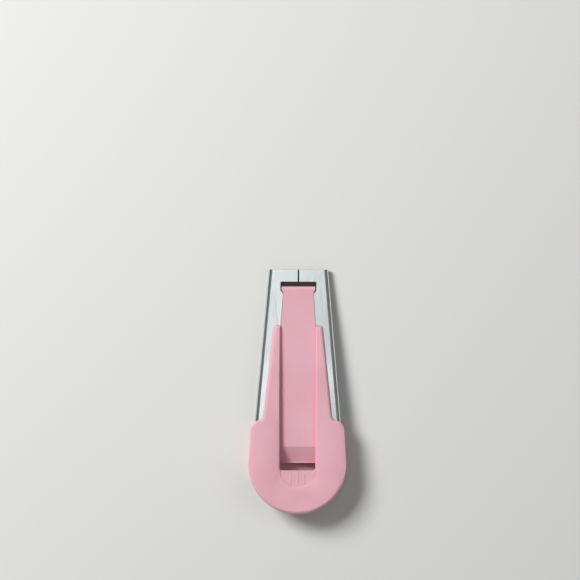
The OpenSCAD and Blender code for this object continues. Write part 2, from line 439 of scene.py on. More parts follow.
@dataclass(frozen=True)
class Layout:
    """Sizes that the pieces share, in millimetres, on the frame that the solids give."""

    y_tip: float
    y_end: float
    y_seat: float
    body_half: float
    seat_half: float
    seat_h: float
    tip_half: float = 10.1
    tip_h: float = 2.9
    bend_r: float = 1.4
    sheet_t: float = 0.5
    fit: float = 0.08
    folder_seat: float = 6.2
    bridge_len: float = 4.2
    window_len: float = 2.9
    corner_len: float = 1.1
    channel_half: float = 6.05
    channel_wall: float = 1.1
    neck_front_half: float = 5.15
    neck_rear_half: float = 5.95
    rail_start: float = 19.0
    shoulder_step: float = 1.45
    shoulder_r: float = 4.0
    rail_h: float = 1.0
    plate_t: float = 1.6
    skirt_h: float = 3.0
    wall_t: float = 1.9
    tray_t: float = 1.2
    mouth_len: float = 13.6
    lip_r: float = 0.3
    cut_reach: float = 40.0
    overrun: float = 5.0
    least_r: float = 0.1
    round_steps: int = 64
    shoulder_steps: int = 20
    throat_steps: int = 48
    bend_steps: int = 9

    @classmethod
    def from_frame(cls) -> "Layout":
        """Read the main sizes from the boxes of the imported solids.

        Returns:
            The layout in millimetres.
        """
        folder_low, folder_high = (Vector(corner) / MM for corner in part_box("folder_shell"))
        guide_low, guide_high = (Vector(corner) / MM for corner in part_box("guide_body"))
        return cls(
            y_tip=folder_high.y,
            y_end=guide_low.y,
            y_seat=folder_low.y,
            body_half=guide_high.x,
            seat_half=folder_high.x,
            seat_h=folder_high.z,
        )

    @property
    def climb(self) -> float:
        """Rise of the folder's top per length, towards the rear."""
        return (self.seat_h - self.tip_h) / (self.y_tip - self.y_seat)

    @property
    def slope(self) -> float:
        """Angle of the folder's top, in degrees."""
        return math.degrees(math.atan(self.climb))

    @property
    def flat(self) -> float:
        """Share of a length on the slope that is seen from above."""
        return math.cos(math.radians(self.slope))

    @property
    def origin(self) -> Point3:
        """Place where the sloping plane begins, at the top of the tip."""
        return (0.0, self.y_tip, self.tip_h)

    @property
    def y_shoulder(self) -> float:
        """Station of the body's shoulders."""
        return self.y_seat + self.folder_seat

    @property
    def y_window(self) -> float:
        """Station of the bridge's rear edge."""
        return self.y_tip - self.bridge_len

    @property
    def y_ear(self) -> float:
        """Station where the window's corners begin to slant."""
        return self.y_window - self.window_len

    @property
    def y_neck(self) -> float:
        """Station where the window's corners meet the neck."""
        return self.y_ear - self.corner_len

    @property
    def y_rail(self) -> float:
        """Station of the rails' front."""
        return self.y_tip - self.rail_start

    @property
    def y_mouth(self) -> float:
        """Station of the mouth's throat."""
        return self.y_end + self.mouth_len

    @property
    def plate_under(self) -> float:
        """Height of the top plate's underside above the folder's top."""
        return self.rail_h - self.plate_t

    @property
    def trough_half(self) -> float:
        """Half width of the channel with its walls."""
        return self.channel_half + self.channel_wall

    @property
    def shoulder_half(self) -> float:
        """Half width of the body at its shoulders."""
        return self.folder_half(self.y_shoulder) + self.shoulder_step

    @property
    def throat_r(self) -> float:
        """Radius of the mouth's throat, from the floor up to the plate."""
        rise = self.height(self.y_mouth, self.plate_under) - self.tray_t
        return rise / (1 + 1 / self.flat - self.climb)

    def mouth_space(self, centre: Point) -> Bench:
        """Model the mouth's space, open to the rear and round at its throat.

        Args:
            centre: Centre of the throat, along the piece and up.

        Returns:
            The space, wider than the body.
        """
        far, radius = centre[0] - self.cut_reach, self.throat_r
        throat = arc(centre, radius, -90, 90, self.throat_steps)
        profile = [(far, centre[1] - radius)] + throat + [(far, centre[1] + radius)]
        return Bench.across("mouth", profile, self.cut_reach)

    def folder_half(self, y: float) -> float:
        """Half width of the folder at a station."""
        share = (self.y_tip - y) / (self.y_tip - self.y_seat)
        return self.tip_half + (self.seat_half - self.tip_half) * share

    def height(self, y: float, rise: float = 0.0) -> float:
        """Height of a plane that lies above the folder's top.

        Args:
            y: Station along the tool.
            rise: Distance from the folder's top, square to it.

        Returns:
            The height above the underside.
        """
        return self.tip_h + (self.y_tip - y) * self.climb + rise / self.flat

    def along(self, y: float) -> float:
        """Distance of a station from the tip, measured along the slope."""
        return (y - self.y_tip) / self.flat

    def on_slope(self, y: float, z: float) -> Point:
        """Turn a station and a height into the sloping plane's own measures.

        Args:
            y: Station along the tool.
            z: Height above the underside.

        Returns:
            Distance along the slope and distance above the folder's top.
        """
        steep = math.sin(math.radians(self.slope))
        back, up = y - self.y_tip, z - self.tip_h
        return (back * self.flat - up * steep, back * steep + up * self.flat)

    def folder_block(self, name: str, y_front: float, y_rear: float, grow: float) -> Bench:
        """Model the folder's outer form as a solid with four rounded bends.

        Args:
            name: Name of the block.
            y_front: Station of its front.
            y_rear: Station of its rear.
            grow: Distance by which it stands outside the folder.

        Returns:
            The block on its bench.
        """
        front_half, rear_half = (self.folder_half(y) + grow for y in (y_front, y_rear))
        front_top, rear_top = (self.height(y) + grow for y in (y_front, y_rear))
        block = Bench.block(name, (-front_half, y_rear, -grow), (front_half, y_front, front_top))
        middle = (y_front + y_rear) / 2
        with block.edit():
            block.narrow(lambda spot: spot.at.y < middle, rear_half / front_half)
            block.move(lambda spot: spot.at.y < middle and spot.at.z > 0, (0, 0, rear_top - front_top))
            block.round_off(lambda spot: spot.runs(Axis.ALONG), self.bend_r + grow, self.bend_steps)
        return block

    def body_outline(self, round_y: float, shoulder_y: float, inset: float) -> list[Point]:
        """Draw the body's outline: a round end and two rounded shoulders.

        Args:
            round_y: Centre of the round end.
            shoulder_y: Front of the shoulders.
            inset: Distance by which the outline is drawn in.

        Returns:
            The points of the closed outline.
        """
        lean = self.side_lean(round_y, shoulder_y)
        corner = (self.shoulder_half - self.shoulder_r, shoulder_y - self.shoulder_r)
        tail = arc((0, round_y), self.body_half - inset, -90, lean, self.round_steps)
        radius = max(self.shoulder_r - inset, self.least_r)
        shoulder = arc(corner, radius, lean, 90, self.shoulder_steps)
        return both_sides(tail + shoulder)

    def side_lean(self, round_y: float, shoulder_y: float) -> float:
        """Angle at which the body's sides leave the round end.

        Args:
            round_y: Centre of the round end.
            shoulder_y: Front of the shoulders.

        Returns:
            The angle of the sides' normal, in degrees from +X.
        """
        across = self.shoulder_half - self.shoulder_r
        forward = shoulder_y - self.shoulder_r - round_y
        reach = math.hypot(across, forward)
        turn = math.acos((self.body_half - self.shoulder_r) / reach)
        return math.degrees(math.atan2(forward, across) - turn)


@dataclass
class FolderShell:
    """Sheet-metal folder: a base, two sides and two flanges that meet at a bridge."""

    layout: Layout
    face: bpy.types.Material
    cut: bpy.types.Material
    # Finish of the inner faces, whose dark colour is painted shade.
    inside: bpy.types.Material
    slit_w: float = 0.42
    corner_r: float = 0.35
    edge_r: float = 0.08
    edge_angle: float = 50.0
    edge_steps: int = 3
    crease: float = 32.0
    tilt: float = 0.01
    name: str = "nickel_folder"

    def opening(self) -> list[tuple[float, float, float, float]]:
        """List the bands of the opening between the flanges.

        Returns:
            For each band its front station and half width, then its rear station and half width.
        """
        lay = self.layout
        slit, trough = self.slit_w / 2, lay.trough_half + lay.fit
        return [
            (lay.y_tip, slit, lay.y_window, slit),
            (lay.y_window, lay.channel_half, lay.y_ear, lay.channel_half),
            (lay.y_ear, lay.channel_half, lay.y_neck, lay.neck_front_half),
            (lay.y_neck, lay.neck_front_half, lay.y_rail, lay.neck_rear_half),
            (lay.y_rail, trough, lay.y_seat, trough),
        ]

    def build(self) -> bpy.types.Object:
        """Fold the shell, open it along the web's way and give it its thickness.

        Returns:
            The finished folder.
        """
        lay = self.layout
        shell = lay.folder_block(self.name, lay.y_tip, lay.y_seat, 0.0)
        with shell.edit():
            shell.remove(lambda spot: spot.runs(Axis.ALONG))
            self.open_flanges(shell)
        self.dress(shell)
        shell.modify(
            "SOLIDIFY",
            thickness=lay.sheet_t,
            offset=-1,
            use_even_offset=True,
            use_rim=True,
            material_offset=2,
            material_offset_rim=1,
        )
        shell.modify(
            "BEVEL",
            width=self.edge_r,
            segments=self.edge_steps,
            limit_method="ANGLE",
            angle_limit=math.radians(self.edge_angle),
        )
        return shell.set_in_frame(crease=self.crease)

    def dress(self, shell: Bench) -> None:
        """Give the sheet its face, its cut edges and its inside, as its thickness takes them; the
        inside's dark colour is painted shade.
        """
        shell.coat(self.face, self.cut, self.inside)

    def open_flanges(self, shell: Bench) -> None:
        """Cut the slit, the window, the neck and the channel out of the upper face.

        Args:
            shell: The folded shell, in edit mode.
        """
        lay = self.layout
        bands = self.opening()

        def on_top(spot: Spot) -> bool:
            """Tell whether a face belongs to the flat top between the bends."""
            level = spot.faces_up() and abs(spot.way.x) < self.tilt
            return level and spot.at.z > lay.tip_h / 2

        def on_window_corner(spot: Spot) -> bool:
            """Tell whether a vertex is a front corner of the window."""
            upper = spot.at.z > lay.tip_h / 2
            return upper and near(abs(spot.at.x), lay.channel_half) and near(spot.at.y, lay.y_window)

        for _, _, y_rear, _ in bands[:-1]:
            shell.split(on_top, (0, y_rear, 0), (0, 1, 0))
        for y_front, half_front, y_rear, half_rear in bands:
            for side in (-1, 1):
                shell.split(
                    lambda spot: on_top(spot) and y_rear < spot.at.y < y_front,
                    (side * half_front, y_front, 0),
                    (y_rear - y_front, -side * (half_rear - half_front), 0),
                )
        shell.remove(lambda spot: on_top(spot) and near(spot.at.x, 0))
        shell.pick(Kind.FACES, on_top)
        bpy.ops.mesh.dissolve_limited(angle_limit=shell.FLAT)
        shell.round_off(on_window_corner, self.corner_r, self.edge_steps, Kind.VERTS)


@dataclass
class GuideBody:
    """Upper moulding: top plate, skirt, rails, web channel with its ramp and slot, and tongue."""

    layout: Layout
    plastic: bpy.types.Material
    rail_front: float = 2.35
    rail_rear: float = 5.75
    rail_corner_r: float = 1.2
    flare_r: float = 1.4
    top_edge_r: float = 1.15
    floor_t: float = 1.0
    end_r: float = 0.36
    pocket_past: float = 3.0
    pocket_depth: float = 20.0
    plane_gap: float = 0.01
    trough_back: float = 0.6
    blank_low: float = -1.0
    tongue_root: float = 1.5
    tongue_drop: float = 0.1
    nose_gap: float = 1.5
    nose_drop: float = 0.5
    ear_gap: float = 0.3
    ear_r: float = 0.35
    ramp_depth: float = 2.1
    ramp_len: float = 5.4
    slot_len: float = 2.7
    slot_back: float = 14.7
    slot_corner_r: float = 0.9
    slot_edge_r: float = 0.12
    slot_overlap: float = 0.2
    fabric_gap: float = 2.5
    way_low: float = -0.5
    way_high: float = 2.0
    way_front: float = 1.0
    channel_edge_r: float = 0.4
    lip_land: float = 0.75
    lip_past: float = 0.6
    lip_fall: float = 0.2
    recess_d: float = 0.7
    recess_in: float = 0.4
    recess_overlap: float = 0.7
    recess_slack: float = 0.03
    rib_count: int = 3
    rib_pitch: float = 2.3
    rib_w: float = 0.7
    rib_h: float = 0.075
    rib_len: float = 3.6
    rib_gap: float = 1.0
    rib_round: float = 0.8
    crown_h: float = 0.45
    crown_depth: float = 0.45
    crown_past: float = 2.0
    crown_back: float = 4.0
    crown_fade: float = 6.0
    crown_steps: int = 12
    fade_steps: int = 6
    edge_steps: int = 6
    rib_steps: int = 5
    lip_steps: int = 4
    pocket_steps: int = 8
    shoulder_steps: int = 16
    flare_steps: int = 10
    recess_steps: int = 32
    name: str = "pink_guide"

    @property
    def v_shoulder(self) -> float:
        """Front of the shoulders, along the slope."""
        return self.layout.along(self.layout.y_shoulder)

    @property
    def v_rail(self) -> float:
        """Front of the rails, along the slope."""
        return self.layout.along(self.layout.y_rail)

    @property
    def v_slot_end(self) -> float:
        """Rear edge of the slot, along the slope."""
        return self.layout.along(self.layout.y_end + self.slot_back)

    @property
    def v_recess(self) -> float:
        """Centre of the finger recess, along the slope."""
        return self.v_slot_end + self.recess_in

    @property
    def v_lip(self) -> float:
        """Lip of the ramp, along the slope."""
        return self.layout.along(self.layout.y_end + self.slot_back + self.slot_len)

    @property
    def v_ramp(self) -> float:
        """Start of the ramp, along the slope."""
        return self.v_lip + self.ramp_len

    @property
    def v_round(self) -> float:
        """Centre of the round end, along the slope."""
        lay = self.layout
        return lay.along(lay.y_end) + lay.body_half - (lay.plate_under + lay.lip_r) * lay.climb

    @property
    def throat(self) -> Point:
        """Centre of the mouth's throat.

        Returns:
            Its place along the slope and above the folder's top.
        """
        lay = self.layout
        v_throat = lay.on_slope(lay.y_mouth - lay.throat_r, lay.tray_t + lay.throat_r)[0]
        return (v_throat, lay.plate_under - lay.throat_r)

    @property
    def w_lip(self) -> float:
        """Upper face of the lip.

        Returns:
            Its height above the folder's top.
        """
        lay = self.layout
        y_lip = lay.y_end + self.slot_back + self.slot_len
        return lay.on_slope(y_lip, lay.tray_t + self.fabric_gap + self.floor_t)[1]

    def top_outline(self) -> list[Point]:
        """Draw the outline from above: round end, shoulders, flares and rails.

        Returns:
            The points of the closed outline.
        """
        lay = self.layout
        lean = lay.side_lean(self.v_round, self.v_shoulder)
        rail_front_half = lay.channel_half + self.rail_front
        rail_rear_half = lay.channel_half + self.rail_rear
        taper = math.atan((rail_rear_half - rail_front_half) / (self.v_rail - self.v_shoulder))
        slant = math.tan(taper)
        corner = (lay.shoulder_half - lay.shoulder_r, self.v_shoulder - lay.shoulder_r)

        def rail_side(v: float, out: float) -> float:
            """Place of a line at a distance outside the rail's side."""
            return rail_rear_half - (v - self.v_shoulder) * slant + out / math.cos(taper)

        offset = rail_side(self.v_shoulder, self.flare_r) - corner[0]
        half_b = lay.shoulder_r - offset * slant
        rest = offset**2 - self.flare_r**2 - 2 * lay.shoulder_r * self.flare_r
        rise = (math.sqrt(half_b**2 - (1 + slant**2) * rest) - half_b) / (1 + slant**2)
        flare_v = self.v_shoulder + rise
        flare = (rail_side(flare_v, self.flare_r), flare_v)
        turn = math.degrees(math.atan2(flare[1] - corner[1], flare[0] - corner[0]))
        front_v = self.v_rail - self.rail_corner_r
        front = (rail_side(front_v, -self.rail_corner_r), front_v)
        lean_in = math.degrees(taper)
        return both_sides(
            arc((0, self.v_round), lay.body_half, -90, lean, lay.round_steps)
            + arc(corner, lay.shoulder_r, lean, turn, self.shoulder_steps)
            + arc(flare, self.flare_r, 180 + turn, 180 + lean_in, self.flare_steps)[1:]
            + arc(front, self.rail_corner_r, lean_in, 90, self.flare_steps)
        )

    def build(self) -> bpy.types.Object:
        """Model the guide square to the sloping top and lean it onto the folder.

        Returns:
            The finished guide.
        """
        lay = self.layout
        outline = self.top_outline()
        guide = Bench.plate(self.name, outline, -lay.skirt_h, lay.rail_h)
        with guide.edit():
            guide.round_off(
                lambda spot: near(spot.at.z, lay.rail_h) and not spot.runs(Axis.UP),
                self.top_edge_r,
                self.edge_steps,
            )
        self.hollow(guide)
        self.add_channel(guide)
        self.cut_channel(guide)
        self.add_ribs(guide)
        self.soften(guide)
        self.crown(guide)
        self.dress(guide)
        return guide.set_in_frame(lay.slope, lay.origin)

    def dress(self, guide: Bench) -> None:
        """Give the whole guide its plastic."""
        guide.coat(self.plastic)

    def hollow(self, guide: Bench) -> None:
        """Open the underside: rails, folder's pocket, inside of the skirt and mouth.

        Args:
            guide: The guide's solid.
        """
        lay = self.layout
        reach = lay.cut_reach
        low = (-reach, self.v_shoulder, -reach)
        high = (reach, self.v_rail + lay.overrun, lay.fit)
        guide.carve(Bench.block("under_rails", low, high), Carve.CUT)
        guide.carve(self.pocket(), Carve.CUT)
        inside = lay.body_outline(self.v_round, self.v_shoulder, lay.wall_t)
        guide.carve(Bench.plate("inside", inside, -reach, lay.plate_under), Carve.CUT)
        guide.carve(lay.mouth_space(self.throat), Carve.CUT)

    def pocket(self) -> Bench:
        """Model the space of the folder in the guide's own measures.

        Returns:
            The space, with its clearance.
        """
        lay = self.layout
        v_rear, v_front = lay.along(lay.y_seat) - lay.fit, self.v_shoulder + self.pocket_past
        stations = [lay.y_tip + v * lay.flat for v in (v_rear, v_front)]
        rear_half, front_half = (lay.folder_half(y) + lay.fit for y in stations)
        low, high = -self.pocket_depth, lay.fit - self.plane_gap
        pocket = Bench.block("pocket", (-front_half, v_rear, low), (front_half, v_front, high))
        middle = (v_rear + v_front) / 2
        with pocket.edit():
            pocket.narrow(lambda spot: spot.at.y < middle, rear_half / front_half)
            pocket.round_off(
                lambda spot: spot.runs(Axis.ALONG) and near(spot.at.z, high),
                lay.bend_r + lay.fit,
                self.pocket_steps,
            )
        return pocket

    def add_channel(self, guide: Bench) -> None:
        """Fuse the channel's trough and the tongue to the guide.

        Args:
            guide: The guide's solid.
        """
        lay = self.layout
        half, low, front = lay.trough_half, self.blank_low, self.v_rail - self.trough_back
        floors = {
            front: -self.tongue_drop,
            self.v_ramp: lay.rail_h - self.ramp_depth,
            self.v_lip: self.w_lip,
        }
        trough = Bench.block("trough", (-half, self.v_lip, low), (half, front, lay.rail_h / 2))
        with trough.edit():
            trough.split(anywhere, (0, self.v_ramp, 0), (0, 1, 0))
            for station, floor in floors.items():
                self.level(trough, station, low, floor - self.floor_t)
        guide.carve(trough, Carve.FUSE)
        guide.carve(self.tongue(), Carve.FUSE)

    def level(self, bench: Bench, station: float, was: float, becomes: float) -> None:
        """Move the lower corners at a station to a new height.

        Args:
            bench: The mesh, in edit mode.
            station: Place along the slope.
            was: Height of the corners before.
            becomes: Height that they take.
        """
        step = (0, 0, becomes - was)
        bench.move(lambda spot: near(spot.at.y, station) and near(spot.at.z, was), step)

    def tongue(self) -> Bench:
        """Model the tongue that fills the neck and the window and dips at its nose.

        Returns:
            The tongue on its bench.
        """
        lay = self.layout
        v_ear, v_neck = (lay.along(y) + self.ear_gap for y in (lay.y_ear, lay.y_neck))
        v_nose = lay.along(lay.y_window - self.nose_gap)
        root = self.v_rail - self.tongue_root
        outline = both_sides(
            [
                (lay.neck_rear_half - lay.fit, root),
                (lay.neck_rear_half - lay.fit, self.v_rail),
                (lay.neck_front_half - lay.fit, v_neck),
                (lay.channel_half - self.ear_gap, v_ear),
                (lay.channel_half - self.ear_gap, v_nose),
            ]
        )
        tongue = Bench.plate("tongue", outline, -self.tongue_drop - self.floor_t, -self.tongue_drop)
        with tongue.edit():
            tongue.split(lambda spot: spot.runs(Axis.UP), (0, v_ear, 0), (0, 1, 0))
            tongue.move(lambda spot: near(spot.at.y, v_nose), (0, 0, -self.nose_drop))
            tongue.round_off(
                lambda spot: near(spot.at.y, v_nose) and spot.runs(Axis.ACROSS),
                self.end_r,
                self.edge_steps,
            )
            tongue.round_off(
                lambda spot: near(spot.at.y, v_ear) and near(spot.at.z, -self.tongue_drop),
                self.ear_r,
                self.lip_steps,
            )
        return tongue

    def cut_channel(self, guide: Bench) -> None:
        """Cut the web's way: channel, ramp, slot and finger recess.

        Args:
            guide: The guide's solid.
        """
        lay = self.layout
        half, low, high = lay.channel_half, self.way_low, lay.rail_h + self.way_high
        front = self.v_rail + self.way_front
        land = self.v_lip + self.lip_land
        past = self.v_lip - self.lip_past
        floors = {
            front: -self.tongue_drop,
            self.v_rail: -self.tongue_drop,
            self.v_ramp: lay.rail_h - self.ramp_depth,
            land: self.w_lip,
            past: self.w_lip - self.lip_fall,
        }
        way = Bench.block("web_way", (-half, past, low), (half, front, high))
        with way.edit():
            for station in (self.v_rail, self.v_ramp, land):
                way.split(anywhere, (0, station, 0), (0, 1, 0))
            for station, floor in floors.items():
                self.level(way, station, low, floor)
        guide.carve(way, Carve.CUT)
        radius = self.slot_corner_r
        rear = (half - radius, self.v_slot_end + radius)
        slot = arc(rear, radius, -90, 0, self.lip_steps) + [(half, self.v_lip - self.slot_overlap)]
        guide.carve(Bench.plate("slot", both_sides(slot), -self.pocket_depth, high), Carve.CUT)
        recess = arc((0, self.v_recess), half, -90, 0, self.recess_steps)
        recess.append((half, self.v_recess + self.recess_overlap))
        floor = lay.rail_h - self.recess_d
        guide.carve(Bench.plate("recess", both_sides(recess), floor, high), Carve.CUT)
        guide.clean()

    def add_ribs(self, guide: Bench) -> None:
        """Fuse the grip ribs to the floor of the finger recess.

        Args:
            guide: The guide's solid.
        """
        floor = self.layout.rail_h - self.recess_d
        front = self.v_slot_end - self.rib_gap
        for index in range(self.rib_count):
            middle = (index - (self.rib_count - 1) / 2) * self.rib_pitch
            low = (middle - self.rib_w / 2, front - self.rib_len, floor - self.rib_h)
            rib = Bench.block(f"rib_{index}", low, (middle + self.rib_w / 2, front, floor + self.rib_h))
            with rib.edit():
                rib.round_off(
                    lambda spot: near(spot.at.z, floor + self.rib_h),
                    self.rib_h * self.rib_round,
                    self.rib_steps,
                )
            guide.carve(rib, Carve.FUSE)

    def soften(self, guide: Bench) -> None:
        """Round the small edges that catch the light.

        Args:
            guide: The guide's solid.
        """
        lay = self.layout
        half = lay.channel_half

        def on_channel_edge(spot: Spot) -> bool:
            """Tell whether an edge lies on the rim of the channel or of the finger recess.

            Args:
                spot: Middle and direction of the edge.

            Returns:
                Whether it does.
            """
            level = near(spot.at.z, lay.rail_h) and not spot.runs(Axis.UP)
            out = math.hypot(spot.at.x, min(spot.at.y - self.v_recess, 0))
            return level and near(out, half, self.recess_slack)

        def on_lip(spot: Spot) -> bool:
            """Tell whether an edge lies on the lip at the ramp's foot."""
            return near(spot.at.y, self.v_lip) and spot.runs(Axis.ACROSS) and abs(spot.at.x) < half

        def on_slot_edge(spot: Spot) -> bool:
            """Tell whether an edge lies between the slot and the finger recess."""
            level = near(spot.at.z, lay.rail_h - self.recess_d) and spot.runs(Axis.ACROSS)
            return level and near(spot.at.y, self.v_slot_end)

        def on_mouth(spot: Spot) -> bool:
            """Tell whether an edge lies on the mouth's upper lip, clear of the throat's arcs."""
            clear = near(spot.at.z, lay.plate_under) and spot.at.y <= self.throat[0] - lay.lip_r
            return clear and near(math.hypot(spot.at.x, spot.at.y - self.v_round), lay.body_half)

        roundings = (
            (on_mouth, lay.lip_r, self.lip_steps),
            (on_channel_edge, self.channel_edge_r, self.edge_steps),
            (on_lip, self.end_r, self.edge_steps),
            (on_slot_edge, self.slot_edge_r, self.rib_steps),
        )
        with guide.edit():
            for test, radius, steps in roundings:
                guide.round_off(test, radius, steps)

    def crown(self, guide: Bench) -> None:
        """Give the top plate a faint crown on both sides of the channel.

        Args:
            guide: The guide's solid.
        """
        lay = self.layout
        inner, outer = lay.channel_half, lay.body_half
        fade_front, fade_rear = self.v_shoulder + self.crown_past, self.v_round - self.crown_back

        def on_plate(spot: Spot) -> bool:
            """Tell whether a face belongs to the flat top."""
            return spot.faces_up() and near(spot.at.z, lay.rail_h)

        with guide.edit():
            for step in range(1, self.crown_steps):
                across = inner + (outer - inner) * step / self.crown_steps
                for side in (-1, 1):
                    guide.split(on_plate, (side * across, 0, 0), (1, 0, 0))
            for step in range(self.fade_steps + 1):
                back = self.crown_fade * step / self.fade_steps
                for station in (fade_front - back, fade_rear - back):
                    guide.split(on_plate, (0, station, 0), (0, 1, 0))
        group = guide.obj.vertex_groups.new(name="crown")
        for vert in guide.obj.data.vertices:
            place = vert.co
            side = (2 * abs(place.x) - inner - outer) / (outer - inner)
            front = smooth_step((fade_front - place.y) / self.crown_fade)
            rear = smooth_step((place.y - fade_rear) / self.crown_fade + 1)
            level = smooth_step((place.z - lay.rail_h) / self.crown_depth + 1)
            group.add([vert.index], min(side**2, 1) * front * rear * level, "REPLACE")
        guide.modify("DISPLACE", direction="Z", strength=-self.crown_h, mid_level=0, vertex_group="crown")


@dataclass
class BaseTray:
    """Lower moulding: floor and side walls of the mouth, open at the round end."""

    layout: Layout
    plastic: bpy.types.Material
    reveal: float = 0.2
    rim_slack: float = 0.05
    base_edge_r: float = 0.7
    edge_steps: int = 5
    name: str = "pink_tray"

    @property
    def y_round(self) -> float:
        """Centre of the round end."""
        return self.layout.y_end + self.layout.body_half

    def build(self) -> bpy.types.Object:
        """Model the tray on its flat underside.

        Returns:
            The finished tray.
        """
        lay = self.layout
        high = lay.cut_reach
        outline = lay.body_outline(self.y_round, lay.y_shoulder, self.reveal)
        tray = Bench.plate(self.name, outline, 0, high)
        parting = (0, lay.y_tip, lay.height(lay.y_tip, -lay.skirt_h - lay.fit))
        with tray.edit():
            tray.round_off(
                lambda spot: near(spot.at.z, 0) and not spot.runs(Axis.UP),
                self.base_edge_r,
                self.edge_steps,
            )
            tray.split(anywhere, parting, (0, lay.climb, 1), cut_off=True)
        inside = lay.body_outline(self.y_round, lay.y_shoulder, lay.wall_t)
        tray.carve(Bench.plate("inside", inside, lay.tray_t, high + lay.overrun), Carve.CUT)
        throat = (lay.y_mouth - lay.throat_r, lay.tray_t + lay.throat_r)
        tray.carve(lay.mouth_space(throat), Carve.CUT)
        tray.carve(lay.folder_block("pocket", lay.y_tip, lay.y_seat - lay.fit, lay.fit), Carve.CUT)
        tray.clean()
        self.soften(tray)
        self.dress(tray)
        return tray.set_in_frame()

    def dress(self, tray: Bench) -> None:
        """Give the whole tray its plastic."""
        tray.coat(self.plastic)

    def soften(self, tray: Bench) -> None:
        """Round the rim of the mouth's floor.

        Args:
            tray: The tray's solid.
        """
        lay = self.layout
        radius = lay.body_half - self.reveal
        rim_end = lay.y_mouth - lay.throat_r - lay.lip_r

        def on_rim(spot: Spot) -> bool:
            """Tell whether an edge lies on the floor's round rim, clear of the throat's arcs."""
            clear = near(spot.at.z, lay.tray_t) and spot.at.y <= rim_end
            return clear and near(math.hypot(spot.at.x, spot.at.y - self.y_round), radius, self.rim_slack)

        with tray.edit():
            tray.round_off(on_rim, lay.lip_r, self.edge_steps)


class Wiring:
    """Nodes of one shader tree, added and joined one after another."""

    # The blend node has sockets for each kind of value under the same names: these are the colours'.
    BLEND_INPUTS = (0, 6, 7)
    BLEND_RESULT = 2

    def __init__(self, tree: bpy.types.NodeTree) -> None:
        """Take up a tree.

        Args:
            tree: Tree of a material, a node group or the world.
        """
        self.tree = tree

    def node(self, kind: str, values: Values | None = None, **settings: object) -> bpy.types.Node:
        """Add a node, then set or link its inputs.

        Args:
            kind: Type of the node, without its prefix.
            values: For each input, by name or number, a value or the socket that feeds it.
            settings: Properties of the node.

        Returns:
            The new node.
        """
        node = self.tree.nodes.new(f"ShaderNode{kind}")
        for name, value in settings.items():
            setattr(node, name, value)
        self.feed(node, values or {})
        return node

    def feed(self, node: bpy.types.Node, values: Values) -> None:
        """Set or link inputs of a node.

        Args:
            node: The node.
            values: For each input, by name or number, a value or the socket that feeds it.
        """
        for name, value in values.items():
            if isinstance(value, bpy.types.NodeSocket):
                self.tree.links.new(value, node.inputs[name])
            else:
                node.inputs[name].default_value = value

    def math(self, how: str, *values: float | Socket) -> Socket:
        """Reckon with up to three values.

        Args:
            how: Operation of the node.
            values: Its values or the sockets that feed it.

        Returns:
            The result.
        """
        return self.node("Math", dict(enumerate(values)), operation=how).outputs[0]

    def add_up(self, total: float | Socket, *parts: tuple[Socket, float]) -> Socket:
        """Add shares of values to a total.

        Args:
            total: Value to start from.
            parts: Each value, and the share of it that is added.

        Returns:
            The sum.
        """
        for value, share in parts:
            total = self.math("MULTIPLY_ADD", value, share, total)
        return total

    def window(self, value: Socket, low: float, high: float) -> Socket:
        """Spread a part of a value's range smoothly from nought to one.

        Args:
            value: The value.
            low: Value that becomes nought.
            high: Value that becomes one.

        Returns:
            The spread value.
        """
        values = {"Value": value, "From Min": low, "From Max": high}
        return self.node("MapRange", values, interpolation_type="SMOOTHSTEP").outputs["Result"]

    def blend(self, share: Feed, first: Feed, second: Feed) -> Socket:
        """Blend two colours.

        Args:
            share: Share of the second colour.
            first: First colour.
            second: Second colour.

        Returns:
            The blended colour.
        """
        values = dict(zip(self.BLEND_INPUTS, (share, first, second)))
        return self.node("Mix", values, data_type="RGBA").outputs[self.BLEND_RESULT]

    def tint(self, color: Socket, mask: Socket, share: float, other: Color) -> Socket:
        """Tint a colour where a mask says so.

        Args:
            color: The colour.
            mask: Where it is tinted.
            share: Share of the other colour under a full mask.
            other: The other colour.

        Returns:
            The tinted colour.
        """
        return self.blend(self.math("MULTIPLY", mask, share), color, other)

    def noise(self, place: Socket, count: Socket, settings: Values) -> Socket:
        """Add noise.

        Args:
            place: Place on the piece.
            count: Number of grains in a metre.
            settings: Further values of the noise.

        Returns:
            The noise, about nought to one.
        """
        return self.node("TexNoise", {"Vector": place, "Scale": count, **settings}).outputs[0]

    def effect(self, tree: bpy.types.NodeTree, values: Values) -> Sockets:
        """Place a shared effect.

        Args:
            tree: Node group of the effect.
            values: For each of its inputs a value or the socket that feeds it.

        Returns:
            The effect's outputs.
        """
        return self.node("Group", values, node_tree=tree).outputs


